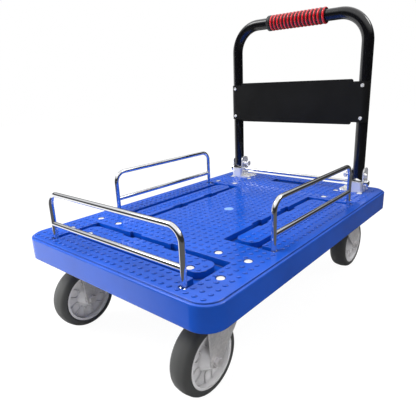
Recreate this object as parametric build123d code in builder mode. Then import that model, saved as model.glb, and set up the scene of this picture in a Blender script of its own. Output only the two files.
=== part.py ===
"""Flatbed platform truck: folding handle, three fold-down guards and four swivel casters.

Millimetres. +X is the front, away from the handle, +Y is the left side and +Z is up.
The origin is on the floor, under the middle of the deck.
"""

from math import cos, radians
import os

from build123d import *

os.makedirs("parts", exist_ok=True)

# ---- Deck ----
deck_length = 900
deck_width = 600
deck_thickness = 55
deck_corner_radius = 46
deck_edge_round = 3
deck_rim_width = 6  # a lower shoulder all round the load surface
deck_rim_drop = 3
deck_wall = 5
deck_skin = 6
rib_wall = 3
rib_pitch = 100
rib_lift = 10  # from the skirt's lower edge up to the ribs
plug_radius = 14
plug_depth = 3
well_length = 40
well_width = 156
well_depth = 8

# ---- Casters ----
caster_height = 200
caster_end_inset = 145
caster_side_inset = 94
wheel_radius = 80
trail = 60
tyre_width = 50
tyre_shoulder = 15
tyre_wall = 18
rim_wall = 6
rim_width = 46
web_wall = 20
hub_radius = 17
hub_length = 58
hub_cone_angle = 32
bushing_wall = 4
arch_count = 6
arch_radius = 12
arch_wall = 2.5
arch_height = 3
plate_length = 115
plate_width = 100
plate_wall = 4
plate_bolt_x = 90
plate_bolt_y = 76
plate_slot = 14
race_depth = 5.7
race_inner_radius = 26
race_outer_radius = 42
ball_radius = 3
ball_count = 18
crown_drop = 16  # from the mounting face down to the fork crown
crown_radius = 46
fork_wall = 4
fork_bend = 8
axle_radius = 5
axle_boss_radius = 14
king_pin_radius = 6
king_pin_head_radius = 11
king_pin_head = 7
seal_wall = 4
pedal_reach = 92  # from the axle to the pedal's tip
pedal_width = 70
pedal_wall = 2.5
pedal_pin_radius = 3.5
pedal_eye_radius = 9
shoe_offset = 8  # from the pedal's pivot out to the shoe
shoe_wall = 6
shoe_drop = 26
tab_height = 26
tab_reach = 56

# ---- Caster bolts ----
bolt_radius = 4
bolt_head_radius = 9
bolt_head = 4.5
bolt_seat = 5  # depth of the counterbore that a head sits in
nut_flats = 13
nut_height = 6.5

# ---- Guards ----
guard_wire = 12
guard_bend = 30
guard_height = 119  # from the hinge to the middle of the top bar
guard_lower_bar = 43
guard_hinge_depth = 8  # from the load surface down to the hinge
front_guard_width = 424
front_guard_inset = 36
side_guard_width = 408
side_guard_inset = 42
side_guard_shift = -18
guard_eye_radius = 7.5
guard_pin_radius = 3
guard_pin_seat = 8
groove_gap = 3
groove_wall = 4
notch_length = 40
notch_width = 30
notch_offset = 70
notch_corner = 3

# ---- Handle ----
handle_inset = 76
handle_height = 525  # from the load surface to the middle of the top bar
handle_spread = 456
handle_bend = 85
tube_radius = 17
tube_wall = 2
pivot_lift = 51
panel_base_lift = 208
panel_height = 132
panel_flank_step = 7
panel_wall = 3
panel_body_width = 400
panel_corner = 6
rivet_radius = 2.5
rivet_head_radius = 5.5
rivet_head = 2.5
rivet_span = 94
grip_length = 200
grip_radius = 21.5
grip_rib_radius = 24
grip_end = 9
ring_width = 6.5
ring_pitch = 12.5
ring_count = 14
ring_first = -82
end_ring_at = 96

# ---- Handle brackets and release bar ----
bracket_wall = 3
bracket_base = 3
bracket_corner = 8
bracket_front_lift = 32
bracket_ear_lift = 75
bracket_rear = 28
ear_front = 12
base_inner_reach = 36
base_rear_reach = 14
screw_radius = 3
screw_length = 22
screw_head_radius = 6.5
screw_head = 4
pivot_bolt_radius = 5
pivot_bolt_inside = 24
pivot_head_flats = 17
pivot_head = 7
rod_radius = 5.5
rod_lift = 28
rod_travel = 14
rod_overhang = 14
cap_radius = 10
cap_length = 13
spring_radius = 9
spring_wire = 2
spring_pitch = 3
spring_turns = 4

# ---- Clearances ----
running = 0.05
slack = 0.3
wheel_side_gap = 1
crown_gap = 0.3

# ---- Worked out from the sizes above ----
deck_top = caster_height + deck_thickness
skin_underside = deck_top - deck_skin
hinge_z = deck_top - guard_hinge_depth
groove_width = guard_wire + 2 * groove_gap
groove_depth = guard_hinge_depth + guard_eye_radius + 0.5
front_hinge_x = deck_length / 2 - front_guard_inset
side_hinge_y = deck_width / 2 - side_guard_inset
handle_x = -(deck_length / 2 - handle_inset)
handle_y = handle_spread / 2
pivot_z = deck_top + pivot_lift
handle_top_z = deck_top + handle_height
caster_x = deck_length / 2 - caster_end_inset
tyre_inner_radius = wheel_radius - tyre_wall
caster_y = deck_width / 2 - caster_side_inset
channel_half = tube_radius + slack + bracket_wall
bracket_rear_x = handle_x - bracket_rear
bracket_front_x = handle_x + channel_half
ear_front_x = handle_x + ear_front
rod_z = deck_top + rod_lift
screw_spots = [
    (bracket_rear_x, -(channel_half + base_inner_reach - 9)),
    (handle_x + 8, -(channel_half + base_inner_reach - 9)),
    (bracket_rear_x - 3, 0),
]
corner_names = {
    (1, 1): "front_left",
    (1, -1): "front_right",
    (-1, 1): "rear_left",
    (-1, -1): "rear_right",
}
guard_places = {
    "front_guard": (front_hinge_x, 0, 180, front_guard_width),
    "left_guard": (side_guard_shift, side_hinge_y, -90, side_guard_width),
    "right_guard": (side_guard_shift, -side_hinge_y, 90, side_guard_width),
}


def write(piece, label):
    """Labels a finished piece and writes it to its own file."""
    piece.label = label
    export_step(piece, f"parts/{label}.step")


def guard_location(place):
    """A guard's own frame: +X points inwards, the way the guard folds."""
    x, y, turn, _ = place
    return Location((x, y, 0), (0, 0, turn))


def groove_outline(width, grow=0.0):
    """The outline of one guard's groove, with its finger notches, grown all round by grow."""
    half = groove_width / 2 + grow
    loop = guard_height - guard_lower_bar
    slot_run = guard_lower_bar + guard_bend + half
    with Locations(((guard_height + guard_lower_bar) / 2, 0)):
        RectangleRounded(loop + 2 * half, width + 2 * half, groove_gap)
    with Locations(*[((slot_run - half) / 2, side * width / 2) for side in (-1, 1)]):
        RectangleRounded(slot_run + half, 2 * half, groove_gap)
    with Locations(((guard_height + guard_lower_bar) / 2, 0)):
        RectangleRounded(loop - 2 * half, width - 2 * half, guard_bend - half, mode=Mode.SUBTRACT)
    with Locations(*[(guard_height, side * notch_offset) for side in (-1, 1)]):
        RectangleRounded(notch_width + 2 * grow, notch_length + 2 * grow, notch_corner)


# ---------------------------------------------------------------- deck
with BuildPart() as deck:
    with BuildSketch(Plane.XY.offset(caster_height)):
        RectangleRounded(deck_length, deck_width, deck_corner_radius)
    extrude(amount=deck_thickness - deck_rim_drop)
    fillet(deck.faces().sort_by(Axis.Z)[-1].edges(), deck_edge_round)
    with BuildSketch(Plane.XY.offset(deck_top - deck_rim_drop)):
        RectangleRounded(
            deck_length - 2 * deck_rim_width,
            deck_width - 2 * deck_rim_width,
            deck_corner_radius - deck_rim_width,
        )
    extrude(amount=deck_rim_drop)
    fillet(deck.faces().sort_by(Axis.Z)[-1].edges(), deck_rim_drop * 0.6)
    with BuildSketch(Plane.XY.offset(caster_height)):
        RectangleRounded(
            deck_length - 2 * deck_wall, deck_width - 2 * deck_wall, deck_corner_radius - deck_wall
        )
    extrude(amount=deck_thickness - deck_skin, mode=Mode.SUBTRACT)
    # Ribs under the skin, from wall to wall.
    with BuildSketch(Plane.XY.offset(caster_height + rib_lift)):
        with GridLocations(rib_pitch, 0, int(deck_length / rib_pitch) - 1, 1):
            Rectangle(rib_wall, deck_width - deck_wall)
        with GridLocations(0, rib_pitch, 1, int(deck_width / rib_pitch) - 1):
            Rectangle(deck_length - deck_wall, rib_wall)
    extrude(amount=skin_underside - caster_height - rib_lift)
    # Solid pads over the casters, under the brackets and under the middle plug and foot well.
    with BuildSketch(Plane.XY.offset(caster_height)):
        with GridLocations(2 * caster_x, 2 * caster_y, 2, 2):
            RectangleRounded(plate_length + 10, plate_width + 10, 8)
    extrude(amount=skin_underside - caster_height)
    with BuildSketch(Plane.XY.offset(deck_top - screw_length - 6)):
        for side in (-1, 1):
            with Locations(*[(x, side * (handle_y + y)) for x, y in screw_spots]):
                Circle(screw_radius + 5)
        with Locations((handle_x, 0)):
            Rectangle(well_length + 12, well_width + 12)
        Circle(plug_radius + 5)
    extrude(amount=screw_length + 6 - deck_skin)
    # Walls that hold the guard grooves, and bosses round the hinge pins.
    with BuildSketch(Plane.XY.offset(deck_top - groove_depth - groove_wall)):
        for place in guard_places.values():
            with Locations(guard_location(place)):
                groove_outline(place[3], groove_wall)
                with Locations(*[(0, side * place[3] / 2) for side in (-1, 1)]):
                    Rectangle(2 * guard_eye_radius + 12, groove_width + 2 * guard_pin_seat + 8)
    extrude(amount=groove_depth + groove_wall - deck_skin)
    with BuildSketch(Plane.XY.offset(deck_top)):
        for place in guard_places.values():
            with Locations(guard_location(place)):
                groove_outline(place[3])
    extrude(amount=-groove_depth, mode=Mode.SUBTRACT)
    for place in guard_places.values():
        across = Vector(0, 1, 0).rotate(Axis.Z, place[2])
        for side in (-1, 1):
            spot = guard_location(place) * Location((0, side * place[3] / 2, 0))
            with BuildSketch(Plane((spot.position.X, spot.position.Y, hinge_z), z_dir=across)):
                Circle(guard_pin_radius)
            extrude(amount=groove_width / 2 + guard_pin_seat, both=True, mode=Mode.SUBTRACT)
    # Foot well under the release bar, and the seat of the middle plug.
    with BuildSketch(Plane.XY.offset(deck_top)):
        with Locations((handle_x, 0)):
            RectangleRounded(well_length, well_width, 8)
    extrude(amount=-well_depth, mode=Mode.SUBTRACT)
    with BuildSketch(Plane.XY.offset(deck_top)):
        Circle(plug_radius)
    extrude(amount=-plug_depth, mode=Mode.SUBTRACT)
    # Caster bolt holes with seats for the heads.
    with Locations((0, 0, deck_top)):
        with GridLocations(2 * caster_x, 2 * caster_y, 2, 2):
            with GridLocations(plate_bolt_x, plate_bolt_y, 2, 2):
                CounterBoreHole(bolt_radius, bolt_head_radius + 1, bolt_seat, deck_thickness)
    # Blind holes for the bracket screws.
    for side in (-1, 1):
        with BuildSketch(Plane.XY.offset(deck_top)):
            with Locations(*[(x, side * (handle_y + y)) for x, y in screw_spots]):
                Circle(screw_radius)
        extrude(amount=-screw_length, mode=Mode.SUBTRACT)
write(deck.part, "deck")

with BuildPart() as deck_plug:
    with BuildSketch(Plane.XY.offset(deck_top - plug_depth)):
        Circle(plug_radius - 0.2)
    extrude(amount=plug_depth)
    fillet(deck_plug.faces().sort_by(Axis.Z)[-1].edges(), 0.8)
write(deck_plug.part, "deck_plug")

# ---------------------------------------------------------------- guards


def make_guard(width):
    """One folding guard, standing on the guard's own hinge line."""
    top = hinge_z + guard_height
    with BuildPart() as guard:
        with BuildLine() as bent:
            FilletPolyline(
                (0, -width / 2, hinge_z),
                (0, -width / 2, top),
                (0, width / 2, top),
                (0, width / 2, hinge_z),
                radius=guard_bend,
            )
        with BuildSketch(Plane((0, -width / 2, hinge_z), z_dir=(0, 0, 1))):
            Circle(guard_wire / 2)
        sweep(path=bent.wire())
        with BuildSketch(Plane((0, 0, hinge_z + guard_lower_bar), z_dir=(0, 1, 0))):
            Circle(guard_wire / 2)
        extrude(amount=width / 2, both=True)
        for side in (-1, 1):
            with BuildSketch(Plane((0, side * width / 2, hinge_z), z_dir=(0, 1, 0))):
                Circle(guard_eye_radius)
            extrude(amount=guard_wire / 2, both=True)
        for side in (-1, 1):
            with BuildSketch(Plane((0, side * width / 2, hinge_z), z_dir=(0, 1, 0))):
                Circle(guard_pin_radius + running)
            extrude(amount=guard_wire, both=True, mode=Mode.SUBTRACT)
    return guard.part


for guard_name, place in guard_places.items():
    write(make_guard(place[3]).moved(guard_location(place)), guard_name)

with BuildPart() as guard_pins:
    for place in guard_places.values():
        across = Vector(0, 1, 0).rotate(Axis.Z, place[2])
        for side in (-1, 1):
            spot = guard_location(place) * Location((0, side * place[3] / 2, 0))
            with BuildSketch(Plane((spot.position.X, spot.position.Y, hinge_z), z_dir=across)):
                Circle(guard_pin_radius)
            extrude(amount=groove_width / 2 + guard_pin_seat, both=True)
write(guard_pins.part, "guard_pins")

# ---------------------------------------------------------------- handle
with BuildPart() as handle_tube:
    with BuildLine() as handle_path:
        FilletPolyline(
            (handle_x, -handle_y, pivot_z - tube_radius),
            (handle_x, -handle_y, handle_top_z),
            (handle_x, handle_y, handle_top_z),
            (handle_x, handle_y, pivot_z - tube_radius),
            radius=handle_bend,
        )
    with BuildSketch(Plane((handle_x, -handle_y, pivot_z - tube_radius), z_dir=(0, 0, 1))):
        Circle(tube_radius)
        Circle(tube_radius - tube_wall, mode=Mode.SUBTRACT)
    sweep(path=handle_path.wire())
    # The lower ends are rounded about the pivot, so that they swing clear of the release bar.
    for side in (-1, 1):
        with BuildSketch(Plane((handle_x, side * handle_y, pivot_z), x_dir=(1, 0, 0), z_dir=(0, -1, 0))):
            with Locations((0, -tube_radius)):
                Rectangle(4 * tube_radius, 2 * tube_radius)
            Circle(tube_radius, mode=Mode.SUBTRACT)
        extrude(amount=2 * tube_radius, both=True, mode=Mode.SUBTRACT)
        with BuildSketch(Plane((handle_x, side * handle_y, pivot_z), z_dir=(0, 1, 0))):
            Circle(pivot_bolt_radius + running)
        extrude(amount=2 * tube_radius, both=True, mode=Mode.SUBTRACT)
    rivet_mid = deck_top + panel_base_lift + panel_height / 2
    rivet_spots = [
        (side * handle_y, rivet_mid + up * rivet_span / 2) for side in (-1, 1) for up in (-1, 1)
    ]
    for y, z in rivet_spots:
        with BuildSketch(Plane((handle_x, y, z), z_dir=(1, 0, 0))):
            Circle(rivet_radius)
        extrude(amount=2 * tube_radius, mode=Mode.SUBTRACT)
write(handle_tube.part, "handle_tube")

panel_x = handle_x + tube_radius
with BuildPart() as handle_panel:
    with BuildSketch(Plane.XY.offset(deck_top + panel_base_lift)):
        with Locations((panel_x + panel_wall / 2, 0)):
            Rectangle(panel_wall, panel_body_width)
    extrude(amount=panel_height)
    # The flanks wrap the front outer quarter of each tube.
    with BuildSketch(Plane.XY.offset(deck_top + panel_base_lift + panel_flank_step)):
        for side in (-1, 1):
            with Locations((handle_x, side * handle_y)):
                Circle(tube_radius + panel_wall)
            with Locations((handle_x, side * (handle_y - tube_radius - panel_wall))):
                Rectangle(
                    2 * tube_radius, 2 * (tube_radius + panel_wall), mode=Mode.SUBTRACT
                )
        with Locations((panel_x + panel_wall / 2, 0)):
            Rectangle(panel_wall, handle_spread)
        for side in (-1, 1):
            with Locations((handle_x, side * handle_y)):
                Circle(tube_radius, mode=Mode.SUBTRACT)
            with Locations((handle_x - tube_radius, side * handle_y)):
                Rectangle(2 * tube_radius, 4 * tube_radius, mode=Mode.SUBTRACT)
            # Each flank ends flush with the outside of its tube.
            with Locations((handle_x, side * (handle_y + 2 * tube_radius))):
                Rectangle(4 * tube_radius, 2 * tube_radius, mode=Mode.SUBTRACT)
    extrude(amount=panel_height - 2 * panel_flank_step)
    for y, z in rivet_spots:
        with BuildSketch(Plane((handle_x, y, z), z_dir=(1, 0, 0))):
            Circle(rivet_radius)
        extrude(amount=2 * tube_radius, mode=Mode.SUBTRACT)
    fillet(handle_panel.edges().filter_by(Axis.X).group_by(Axis.Z)[-1], panel_corner)
    fillet(handle_panel.edges().filter_by(Axis.X).group_by(Axis.Z)[0], panel_corner)
write(handle_panel.part, "handle_panel")

with BuildPart() as panel_rivets:
    for y, z in rivet_spots:
        with BuildSketch(Plane((handle_x + tube_radius - 2 * tube_wall, y, z), z_dir=(1, 0, 0))):
            Circle(rivet_radius)
        extrude(amount=2 * tube_wall + panel_wall)
        with BuildSketch(Plane((panel_x + panel_wall, y, z), z_dir=(1, 0, 0))):
            Circle(rivet_head_radius)
        extrude(amount=rivet_head, taper=25)
write(panel_rivets.part, "panel_rivets")

grip_centre = Plane((handle_x, 0, handle_top_z), z_dir=(0, 1, 0))
with BuildPart() as grip:
    with BuildSketch(grip_centre):
        Circle(grip_radius)
    extrude(amount=grip_length / 2, both=True)
    with BuildSketch(grip_centre.offset(-grip_length / 2)):
        Circle(grip_rib_radius)
    extrude(amount=grip_end)
    with BuildSketch(grip_centre):
        Circle(tube_radius)
    extrude(amount=grip_length / 2, both=True, mode=Mode.SUBTRACT)
write(grip.part, "grip")

ring_spots = [ring_first + ring_pitch * i for i in range(ring_count)] + [end_ring_at]
with BuildPart() as grip_rings:
    for y in ring_spots:
        with BuildSketch(grip_centre.offset(y - ring_width / 2)):
            Circle(grip_rib_radius)
            Circle(grip_radius, mode=Mode.SUBTRACT)
        extrude(amount=ring_width)
write(grip_rings.part, "grip_rings")

# ---------------------------------------------------------------- handle brackets
channel_mid_x = (bracket_front_x + bracket_rear_x) / 2
channel_run = bracket_front_x - bracket_rear_x
base_top = deck_top + bracket_base
base_front = bracket_front_x
base_rear = bracket_rear_x - base_rear_reach
base_span = 2 * channel_half + base_inner_reach

# A bracket is drawn round its own tube, with the deck's middle towards -Y.
with BuildPart() as bracket:
    with BuildSketch(Plane.XY.offset(deck_top)):
        with Locations((channel_mid_x, 0)):
            channel = Rectangle(channel_run, 2 * channel_half)
        fillet(channel.vertices().group_by(Axis.X)[-1], bracket_corner)
    extrude(amount=bracket_ear_lift)
    with BuildSketch(Plane.XY.offset(base_top)):
        with Locations((channel_mid_x - bracket_wall, 0)):
            inside = Rectangle(channel_run, 2 * (channel_half - bracket_wall))
        fillet(inside.vertices().group_by(Axis.X)[-1], bracket_corner - bracket_wall)
    extrude(amount=bracket_ear_lift, mode=Mode.SUBTRACT)
    # Seen from the side: a low front wall, and two rounded ears round the pivot.
    with BuildSketch(Plane((0, 0, 0), x_dir=(1, 0, 0), z_dir=(0, -1, 0))):
        with Locations((channel_mid_x, deck_top)):
            Rectangle(channel_run, bracket_front_lift, align=(Align.CENTER, Align.MIN))
        with Locations(((bracket_rear_x + ear_front_x) / 2, deck_top)):
            RectangleRounded(
                ear_front_x - bracket_rear_x,
                bracket_ear_lift,
                (ear_front_x - bracket_rear_x) / 2 - 4,
                align=(Align.CENTER, Align.MIN),
            )
        with Locations((bracket_rear_x, deck_top)):
            Rectangle(
                ear_front_x - bracket_rear_x, bracket_front_lift, align=(Align.MIN, Align.MIN)
            )
    extrude(amount=channel_half, both=True, mode=Mode.INTERSECT)
    with BuildSketch(Plane.XY.offset(deck_top)):
        with Locations(((base_front + base_rear) / 2, channel_half - base_span / 2)):
            foot = Rectangle(base_front - base_rear, base_span)
        fillet(foot.vertices().group_by(Axis.Y)[0], 16)
        fillet(vertices().group_by(Axis.Y)[-1].group_by(Axis.X)[0], 8)
    extrude(amount=bracket_base)
    with BuildSketch(Plane((handle_x, 0, pivot_z), z_dir=(0, 1, 0))):
        Circle(pivot_bolt_radius)
    extrude(amount=2 * channel_half, both=True, mode=Mode.SUBTRACT)
    # The release bar rides up and down in a slot through both cheeks.
    with BuildSketch(Plane((handle_x, 0, rod_z - rod_travel / 2), x_dir=(0, 0, 1), z_dir=(0, 1, 0))):
        SlotCenterToCenter(rod_travel, 2 * (rod_radius + slack))
    extrude(amount=2 * channel_half, both=True, mode=Mode.SUBTRACT)
    with BuildSketch(Plane.XY.offset(deck_top)):
        with Locations(*screw_spots):
            Circle(screw_radius)
    extrude(amount=bracket_base, mode=Mode.SUBTRACT)
write(bracket.part.moved(Location((0, handle_y, 0))), "left_bracket")
write(mirror(bracket.part, about=Plane.XZ).moved(Location((0, -handle_y, 0))), "right_bracket")

with BuildPart() as bracket_screws:
    for side in (-1, 1):
        spots = [(x, side * (handle_y + y)) for x, y in screw_spots]
        with BuildSketch(Plane.XY.offset(base_top)):
            with Locations(*spots):
                Circle(screw_radius)
        extrude(amount=-(screw_length + bracket_base))
        with BuildSketch(Plane.XY.offset(base_top)):
            with Locations(*spots):
                Circle(screw_head_radius)
        extrude(amount=screw_head, taper=20)
write(bracket_screws.part, "bracket_screws")


def hexagon_radius(flats):
    """The corner radius of a hexagon, from its size across flats."""
    return flats / 2 / cos(radians(30))


outer_face = handle_y + channel_half
inner_face = handle_y - channel_half
with BuildPart() as pivot_bolts:
    for side in (-1, 1):
        outward = (0, side, 0)
        with BuildSketch(Plane((handle_x, side * (inner_face - pivot_bolt_inside), pivot_z), z_dir=outward)):
            Circle(pivot_bolt_radius)
        extrude(amount=2 * channel_half + pivot_bolt_inside)
        with BuildSketch(Plane((handle_x, side * outer_face, pivot_z), z_dir=outward)):
            Circle(pivot_head_flats / 2)
        extrude(amount=pivot_head, taper=30)
write(pivot_bolts.part, "pivot_bolts")

with BuildPart() as pivot_nuts:
    for side in (-1, 1):
        inward = (0, -side, 0)
        nut_face = inner_face - pivot_bolt_inside + pivot_head
        with BuildSketch(Plane((handle_x, side * nut_face, pivot_z), z_dir=inward)):
            RegularPolygon(hexagon_radius(pivot_head_flats), 6)
            Circle(pivot_bolt_radius, mode=Mode.SUBTRACT)
        extrude(amount=pivot_head)
write(pivot_nuts.part, "pivot_nuts")

rod_end = outer_face + rod_overhang
with BuildPart() as release_bar:
    with BuildSketch(Plane((handle_x, 0, rod_z), z_dir=(0, 1, 0))):
        Circle(rod_radius)
    extrude(amount=rod_end - cap_length / 2, both=True)
write(release_bar.part, "release_bar")

with BuildPart() as release_caps:
    for side in (-1, 1):
        outward = (0, side, 0)
        with BuildSketch(Plane((handle_x, side * (rod_end - cap_length), rod_z), z_dir=outward)):
            Circle(cap_radius)
        extrude(amount=cap_length)
        fillet(release_caps.faces().sort_by(Axis.Y)[-1 if side > 0 else 0].edges(), cap_radius * 0.4)
        with BuildSketch(Plane((handle_x, side * (rod_end - cap_length), rod_z), z_dir=outward)):
            Circle(rod_radius)
        extrude(amount=cap_length / 2, mode=Mode.SUBTRACT)
write(release_caps.part, "release_caps")

# Torsion springs: a coil round each pivot bolt, with one leg under the release bar.
spring_gap = 1
spring_length = spring_pitch * spring_turns
with BuildPart() as spring:
    with BuildLine() as coil:
        Helix(spring_pitch, spring_length, spring_radius)
    with BuildSketch(Plane(coil.wire() @ 0, z_dir=coil.wire() % 0)):
        Circle(spring_wire / 2)
    sweep(path=coil.wire())
    # Both legs leave the coil at its rear side: one runs up the ear, one down and under the rod.
    overlap = spring_wire / 2
    leg_drop = pivot_z - rod_z + rod_radius + spring_wire
    with BuildSketch(Plane((spring_radius, overlap, 0), z_dir=(0, -1, 0))):
        Circle(spring_wire / 2)
    extrude(amount=leg_drop + overlap)
    with BuildSketch(Plane((spring_radius, -overlap, spring_length), z_dir=(0, 1, 0))):
        Circle(spring_wire / 2)
    extrude(amount=bracket_ear_lift - pivot_lift - spring_wire)
    with BuildSketch(Plane((spring_radius + overlap, -leg_drop, 0), z_dir=(-1, 0, 0))):
        Circle(spring_wire / 2)
    extrude(amount=2 * spring_radius)
spring_start = inner_face - spring_gap - spring_wire / 2
spring_seat = Location((handle_x, -spring_start, pivot_z), (0, 0, 180)) * Location((0, 0, 0), (90, 0, 0))
right_spring = spring.part.moved(spring_seat)
left_spring = mirror(right_spring, about=Plane.XZ)
springs = Compound(children=[left_spring.solid(), right_spring.solid()])
write(springs, "release_springs")

# ---------------------------------------------------------------- casters
crown_top = caster_height - crown_drop
crown_under = crown_top - fork_wall
plate_under = caster_height - plate_wall
race_under = plate_under - race_depth
axle = (trail, 0, wheel_radius)
fork_inner = hub_length / 2 + wheel_side_gap
fork_outer = fork_inner + fork_wall
bush_radius = axle_radius + running + bushing_wall

# Everything here is drawn on the caster's own swivel axis, trailing towards +X.
with BuildPart() as top_plate:
    with BuildSketch(Plane.XY.offset(plate_under)):
        RectangleRounded(plate_length, plate_width, 6)
        with GridLocations(plate_bolt_x, plate_bolt_y, 2, 2):
            SlotOverall(plate_slot, 2 * (bolt_radius + slack), mode=Mode.SUBTRACT)
    extrude(amount=plate_wall)
    with BuildSketch(Plane.XY.offset(plate_under)):
        Circle(race_outer_radius)
        Circle(race_inner_radius, mode=Mode.SUBTRACT)
    extrude(amount=-race_depth)
    with BuildSketch(Plane.XY.offset(plate_under)):
        Circle(king_pin_radius)
    extrude(amount=plate_wall, mode=Mode.SUBTRACT)

with BuildPart() as king_pin:
    with BuildSketch(Plane.XY.offset(crown_under - crown_gap - king_pin_head)):
        Circle(king_pin_radius)
    extrude(amount=caster_height - crown_under + crown_gap + king_pin_head)
    with BuildSketch(Plane.XY.offset(crown_under - crown_gap)):
        Circle(king_pin_head_radius)
    extrude(amount=-king_pin_head, taper=15)

race_mid_radius = (race_outer_radius + race_inner_radius) / 2
with BuildPart() as ball_race:
    with BuildSketch(Plane.XY.offset(crown_top)):
        Circle(race_outer_radius)
        Circle(race_inner_radius, mode=Mode.SUBTRACT)
    extrude(amount=(race_under - crown_top) / 2)
    with Locations((0, 0, (race_under + crown_top) / 2)):
        with PolarLocations(race_mid_radius, ball_count):
            Sphere(ball_radius)

with BuildPart() as seal_ring:
    with BuildSketch(Plane.XZ):
        with BuildLine():
            Polyline(
                (race_outer_radius + 1, crown_top),
                (race_outer_radius + 1 + seal_wall, crown_top),
                (race_outer_radius + 3 + seal_wall, plate_under - 0.5),
                (race_outer_radius + 1, plate_under - 0.5),
                close=True,
            )
        make_face()
    revolve(axis=Axis.Z)


def make_fork(braked):
    """A pressed fork: a crown disc, two tapering legs and, with a brake, two pedal tabs."""
    crown_edge = crown_radius - 2
    with BuildPart() as fork:
        with BuildSketch(Plane.YZ.offset(-crown_radius)):
            with Locations((0, crown_top)):
                arch = Rectangle(2 * fork_outer, crown_top, align=(Align.CENTER, Align.MAX))
            fillet(arch.vertices().group_by(Axis.Y)[-1], fork_bend)
            with Locations((0, crown_under)):
                gap = Rectangle(
                    2 * fork_inner, crown_top, align=(Align.CENTER, Align.MAX), mode=Mode.SUBTRACT
                )
        extrude(amount=crown_radius + trail + wheel_radius)
        with BuildSketch(Plane((0, 0, 0), x_dir=(1, 0, 0), z_dir=(0, -1, 0))) as leg:
            with BuildLine():
                Polyline(
                    (-crown_edge, crown_top),
                    (-crown_edge, crown_under - 6),
                    (trail - axle_boss_radius * 0.9, wheel_radius - 8),
                    (trail + axle_boss_radius * 0.95, wheel_radius - 8),
                    (trail + axle_boss_radius + 5, crown_under - 28),
                    (trail + axle_boss_radius - 6, crown_top),
                    close=True,
                )
            make_face()
            fillet(leg.vertices().group_by(Axis.X)[-1], 12)
            with Locations((trail, wheel_radius)):
                Circle(axle_boss_radius)
            if braked:
                with Locations((trail, crown_under - 6)):
                    Rectangle(tab_reach, tab_height, align=(Align.MIN, Align.MAX))
        extrude(amount=fork_outer, both=True, mode=Mode.INTERSECT)
        with BuildSketch(Plane.XY.offset(crown_under)):
            Circle(crown_radius)
        extrude(amount=fork_wall)
        with BuildSketch(Plane.XY.offset(crown_under)):
            Circle(king_pin_radius + running)
        extrude(amount=fork_wall, mode=Mode.SUBTRACT)
        with BuildSketch(Plane(axle, z_dir=(0, 1, 0))):
            Circle(axle_radius)
        extrude(amount=2 * fork_outer, both=True, mode=Mode.SUBTRACT)
        if braked:
            with BuildSketch(Plane((0, 0, 0), x_dir=(1, 0, 0), z_dir=(0, -1, 0))):
                with Locations(*pedal_pin_spots):
                    Circle(pedal_pin_radius)
            extrude(amount=2 * fork_outer, both=True, mode=Mode.SUBTRACT)
    return fork.part


tab_mid_z = crown_under - 6 - tab_height / 2
pedal_pivot = (trail + tab_reach - 12, tab_mid_z + 3)
pedal_pin_spots = [pedal_pivot, (trail + 12, tab_mid_z + 5)]

with BuildPart() as axle_bolt:
    with BuildSketch(Plane((trail, -fork_outer, wheel_radius), z_dir=(0, 1, 0))):
        Circle(axle_radius)
    extrude(amount=2 * fork_outer + 8)
    with BuildSketch(Plane((trail, -fork_outer, wheel_radius), z_dir=(0, -1, 0))):
        RegularPolygon(hexagon_radius(17), 6)
    extrude(amount=6.5)
    with BuildSketch(Plane((trail, fork_outer, wheel_radius), z_dir=(0, 1, 0))):
        RegularPolygon(hexagon_radius(17), 6)
        Circle(axle_radius, mode=Mode.SUBTRACT)
    extrude(amount=8)

with BuildPart() as hub_bushing:
    with BuildSketch(Plane(axle, z_dir=(0, 1, 0))):
        Circle(bush_radius)
        Circle(axle_radius + running, mode=Mode.SUBTRACT)
    extrude(amount=hub_length / 2, both=True)

with BuildPart() as wheel_core:
    with BuildSketch(Plane(axle, z_dir=(0, 1, 0))):
        Circle(hub_radius)
    extrude(amount=hub_length / 2, both=True)
    with BuildSketch(Plane(axle, z_dir=(0, 1, 0))):
        Circle(tyre_inner_radius)
    extrude(amount=web_wall / 2, both=True)
    with BuildSketch(Plane(axle, z_dir=(0, 1, 0))):
        Circle(tyre_inner_radius)
        Circle(tyre_inner_radius - rim_wall, mode=Mode.SUBTRACT)
    extrude(amount=rim_width / 2, both=True)
    # A cone on each face carries the hub down to the web.
    for side in (-1, 1):
        with BuildSketch(Plane((trail, side * hub_length / 2, wheel_radius), z_dir=(0, -side, 0))):
            Circle(hub_radius)
        extrude(amount=hub_length / 2 - web_wall / 2, taper=-hub_cone_angle)
    # Moulded arches, standing on the rim, on both faces of the web.
    arch_at = tyre_inner_radius - rim_wall - arch_radius
    with BuildSketch(Plane(axle, z_dir=(0, 1, 0))):
        with PolarLocations(arch_at - arch_radius * 0.6, arch_count):
            Circle(arch_radius)
            with Locations((arch_radius * 0.8, 0)):
                Rectangle(1.6 * arch_radius, 2 * arch_radius)
        with PolarLocations(arch_at - arch_radius * 0.6, arch_count):
            Circle(arch_radius - arch_wall, mode=Mode.SUBTRACT)
            with Locations((arch_radius * 0.8, 0)):
                Rectangle(
                    1.6 * arch_radius + 1, 2 * (arch_radius - arch_wall), mode=Mode.SUBTRACT
                )
    extrude(amount=web_wall / 2 + arch_height, both=True)
    with BuildSketch(Plane(axle, z_dir=(0, 1, 0))):
        Circle(bush_radius)
    extrude(amount=hub_length, both=True, mode=Mode.SUBTRACT)

with BuildPart() as tyre:
    with BuildSketch(Plane((trail, 0, wheel_radius), x_dir=(0, 1, 0), z_dir=(1, 0, 0))):
        with Locations((0, tyre_inner_radius)):
            band = Rectangle(
                tyre_width, wheel_radius - tyre_inner_radius, align=(Align.CENTER, Align.MIN)
            )
        fillet(band.vertices().group_by(Axis.Y)[-1], tyre_shoulder)
    revolve(axis=Axis(axle, (0, 1, 0)))

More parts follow.
